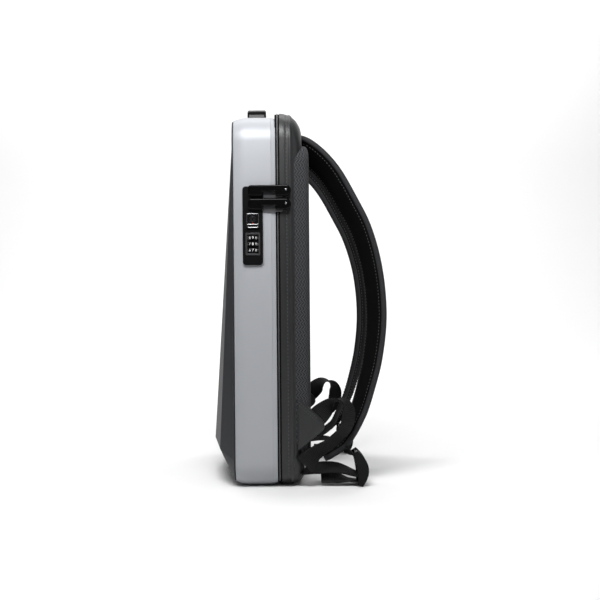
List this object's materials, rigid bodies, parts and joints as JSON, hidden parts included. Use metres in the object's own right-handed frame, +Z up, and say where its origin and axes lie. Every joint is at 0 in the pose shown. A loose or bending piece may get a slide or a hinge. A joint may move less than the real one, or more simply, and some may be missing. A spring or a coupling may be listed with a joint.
{
  "type": "hard shell backpack",
  "caption": "Slim hard shell backpack with a faceted front, silver side frame, padded mesh back, shoulder straps, top handle and a combination lock on one side.",
  "frame": {"origin": "middle of the flat bottom face of the shell, where the backpack stands", "axes": "+X across the back, to the side with the lock; +Y from the front panel to the wearer; +Z up"},
  "size_m": [0.3225, 0.2271, 0.4851],
  "materials": {
    "silver_shell": "satin silver lacquer on moulded plastic",
    "dark_panel": "dark grey moulded plastic, fine grain",
    "zip_tape": "black zip tape and coil",
    "gusset_leather": "dark grey coated fabric, satin",
    "back_mesh": "dark grey woven mesh over foam",
    "strap_fabric": "black padded fabric",
    "webbing": "black woven webbing",
    "gloss_black": "polished black",
    "lock_plastic": "satin black",
    "lock_metal": "satin metal",
    "dial_black": "black with pale numbers",
    "slider_metal": "grey metal"
  },
  "bodies": {
    "bag": {"shell_frame": "silver_shell", "front_panel": "dark_panel", "zipper_tape": "zip_tape", "rear_gusset": "gusset_leather", "gusset_piping": "gusset_leather", "back_pad": "back_mesh", "handle_grip": "gloss_black", "lock_housing": "lock_plastic", "dial_bezel": "lock_metal", "zipper_slider_upper": "slider_metal", "zipper_slider_lower": "slider_metal", "zipper_pull_upper": "gloss_black", "zipper_pull_lower": "gloss_black", "wing_right": "gusset_leather", "shoulder_strap_right": "strap_fabric", "loop_webbing_right": "webbing", "anchor_webbing_right": "webbing", "strap_tail_right": "webbing", "ladder_lock_right": "gloss_black", "handle_mount_right": "gloss_black", "wing_left": "gusset_leather", "shoulder_strap_left": "strap_fabric", "loop_webbing_left": "webbing", "anchor_webbing_left": "webbing", "strap_tail_left": "webbing", "ladder_lock_left": "gloss_black", "handle_mount_left": "gloss_black"},
    "dial_1": {"dial_1": "dial_black"},
    "dial_2": {"dial_2": "dial_black"},
    "dial_3": {"dial_3": "dial_black"},
    "button": {"release_button": "lock_plastic"},
    "key": {"key_plug": "lock_metal"}
  },
  "joints": [
    {"name": "dial_1_turn", "type": "hinge", "parent": "bag", "child": "dial_1", "pos_m": [0.1533, -0.005, 0.3098], "axis": [0, 0, 1], "continuous": true},
    {"name": "dial_2_turn", "type": "hinge", "parent": "bag", "child": "dial_2", "pos_m": [0.1533, -0.005, 0.30215], "axis": [0, 0, 1], "continuous": true},
    {"name": "dial_3_turn", "type": "hinge", "parent": "bag", "child": "dial_3", "pos_m": [0.1533, -0.005, 0.2945], "axis": [0, 0, 1], "continuous": true},
    {"name": "button_press", "type": "slide", "parent": "bag", "child": "button", "axis": [0, 0, -1], "range_m": [0, 0.0025], "stiffness_N_per_m": 200, "springref_m": -0.001},
    {"name": "key_turn", "type": "hinge", "parent": "bag", "child": "key", "pos_m": [0.1586, -0.005, 0.3328], "axis": [1, 0, 0], "range_deg": [0, 90]}
  ]
}
